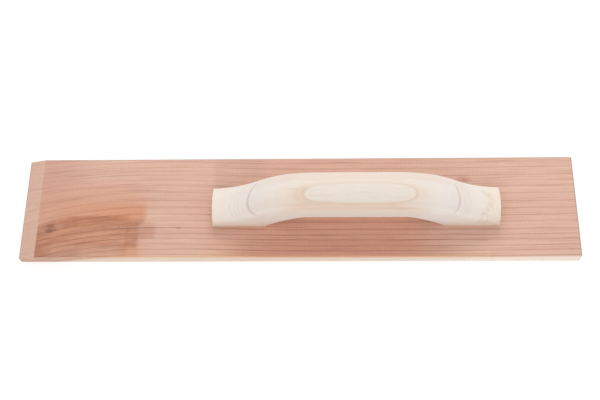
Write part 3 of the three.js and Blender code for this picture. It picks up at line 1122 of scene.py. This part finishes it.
def handle_point(shape, u, v, kind, offset, corners):
    """One point of the handle's surface in its own frame."""
    if kind == "under":
        slide, round_off = 1.0, offset
    else:
        slide, round_off = (1.0 - offset if kind == "side" else 0.0), OPENING_ROUND
    side = 1 if u > 0 else -1
    near_toe = nearness(u - side * HALF_LENGTH, TOE_BLEND)
    # Slide the sections near a foot's inner corner along, so that one lies on the rounded corner,
    # and pull those near a toe in to the toe's plan outline.
    to_corner = u - (OPENING_MIDDLE + side * corners[0.0])
    moved = (corners[round_off] - corners[0.0]) * nearness(to_corner, FOOT_BLEND) * slide
    along = u + side * (moved - toe_inset(v) * near_toe)
    if kind == "under":
        height = shape.underside(along, offset)
    elif kind == "side":
        bottom = shape.underside(along, OPENING_ROUND)
        height = bottom + (shape.top_height(along, DOME_DROP) - bottom) * offset
    else:
        height = shape.top_height(along, offset)
    # Lean the toe ends outwards towards the blade.
    return Vector((along + side * toe_lean(height) * near_toe, v, height))


def make_handle(material):
    """The bridge handle, lofted through cross-sections from toe to toe."""
    shape = HandleShape()
    rows = half_section()
    mirrored = [(-v, kind, offset) for v, kind, offset in reversed(rows[1:-1])]
    section = rows + mirrored
    corners = {offset: shape.foot_corner(offset) for _, kind, offset in rows if kind == "under"}
    corners[OPENING_ROUND] = shape.foot_corner(OPENING_ROUND)
    base = Vector((HANDLE_MIDDLE.x, HANDLE_MIDDLE.y, BLADE_TOP))
    bm = bmesh.new()
    loops = []
    for u in handle_stations(shape):
        loop = []
        for v, kind, offset in section:
            spot = handle_point(shape, u, v, kind, offset, corners)
            if kind == "top":
                lump = noise.noise(Vector((spot.x / LUMP_LENGTH, spot.y / LUMP_WIDTH, LUMP_SEED)))
                spot.z -= HAND_CARVED * (1 + lump)
            loop.append(bm.verts.new(spot + base))
        loops.append(loop)
    for lower, upper in zip(loops, loops[1:]):
        ring_faces(bm, lower, upper)
    toe_face(bm, loops[0], rows, -1)
    toe_face(bm, loops[-1], rows, 1)
    piece = new_piece("handle_fine", bm)
    ease_edges(piece, HANDLE_ARRIS, angle=40.0)
    cut_away(piece, [hole_cutter(node, into_handle=True) for node in SCREWS])
    shade(piece, angle=40.0)
    attach(piece, "handle", material)


# ---- Table, light and camera

FLOOR_HALF = 2.5
FLOOR_GAP = 0.0003
FLOOR_GLOW = 0.66
FLOOR_ROUGHNESS = 0.8
WHITE = srgb(255, 255, 255)
FLOOR_WHITE = srgb(170, 170, 170)
SKY_LIGHT = 0.80
# Each light: its place and size in metres and its power in watts.
LIGHTS = {
    "key": ((0.05, 1.02, 0.93), (0.8, 0.5), 7.2),
    "fill": ((0.0, -1.22, 1.02), (1.6, 0.9), 6.6),
}
CAMERA_PLACE = Vector((0.02866, -0.27927, 0.71093))
CAMERA_HEADING = 5.286
CAMERA_DOWN = 67.707
CAMERA_ROLL = -5.154
CAMERA_LENS = 54.667
CAMERA_NEAREST = 0.02


def make_floor():
    """A plain white light table, whose glow keeps the shadows on it faint."""
    bm = bmesh.new()
    corners = ((-1, -1), (1, -1), (1, 1), (-1, 1))
    half = FLOOR_HALF / MM
    bm.faces.new([bm.verts.new((a * half, b * half, -FLOOR_GAP / MM)) for a, b in corners])
    floor = new_piece("floor", bm)
    paint = Shader("white_table")
    grain = paint.noise(paint.place(), (3.0, 3.0, 3.0))
    paint.feed_all(paint.surface.inputs, Emission_Color=WHITE, Emission_Strength=FLOOR_GLOW)
    rough = paint.plus(FLOOR_ROUGHNESS, paint.times(grain, 0.03))
    floor.data.materials.append(paint.finish(FLOOR_WHITE, rough, specular=0.05))


def make_light(name, place, size, power):
    """A rectangular area light that faces the middle of the table."""
    data = bpy.data.lights.new(name, "AREA")
    data.shape = "RECTANGLE"
    data.size, data.size_y = size
    data.energy = power
    lamp = new_object(name, data)
    lamp.location = place
    lamp.rotation_euler = (-Vector(place)).to_track_quat("-Z", "Y").to_euler()


def make_sky():
    """A sky that lights the scene softly but is plain white to the camera."""
    world = bpy.data.worlds.new("studio")
    world.use_nodes = True
    tree = world.node_tree
    sky = tree.nodes["Background"]
    sky.inputs["Color"].default_value = WHITE
    seen = tree.nodes.new("ShaderNodeLightPath")
    strength = tree.nodes.new("ShaderNodeMapRange")
    strength.inputs["To Min"].default_value = SKY_LIGHT
    tree.links.new(seen.outputs["Is Camera Ray"], strength.inputs["Value"])
    tree.links.new(strength.outputs[0], sky.inputs["Strength"])
    bpy.context.scene.world = world


def make_camera():
    """The camera, aimed by its heading, how far down it looks and its roll, in degrees."""
    data = bpy.data.cameras.new("camera")
    data.lens = CAMERA_LENS
    data.clip_start = CAMERA_NEAREST
    camera = new_object("camera", data)
    heading = Matrix.Rotation(math.radians(CAMERA_HEADING), 3, "Z")
    tip = Matrix.Rotation(math.radians(90 - CAMERA_DOWN), 3, "X")
    roll = Matrix.Rotation(math.radians(CAMERA_ROLL), 3, "Z")
    camera.rotation_euler = (heading @ tip @ roll).to_euler()
    camera.location = CAMERA_PLACE
    bpy.context.scene.camera = camera


make_blade(blade_wood())
make_handle(handle_wood())
steel = screw_steel()
for screw_node in SCREWS:
    make_screw(screw_node, steel)
make_floor()
make_sky()
for light_name, (light_place, light_size, light_power) in LIGHTS.items():
    make_light(light_name, light_place, light_size, light_power)
bpy.context.scene.view_settings.view_transform = "Standard"
bpy.context.scene.view_settings.look = "None"
make_camera()
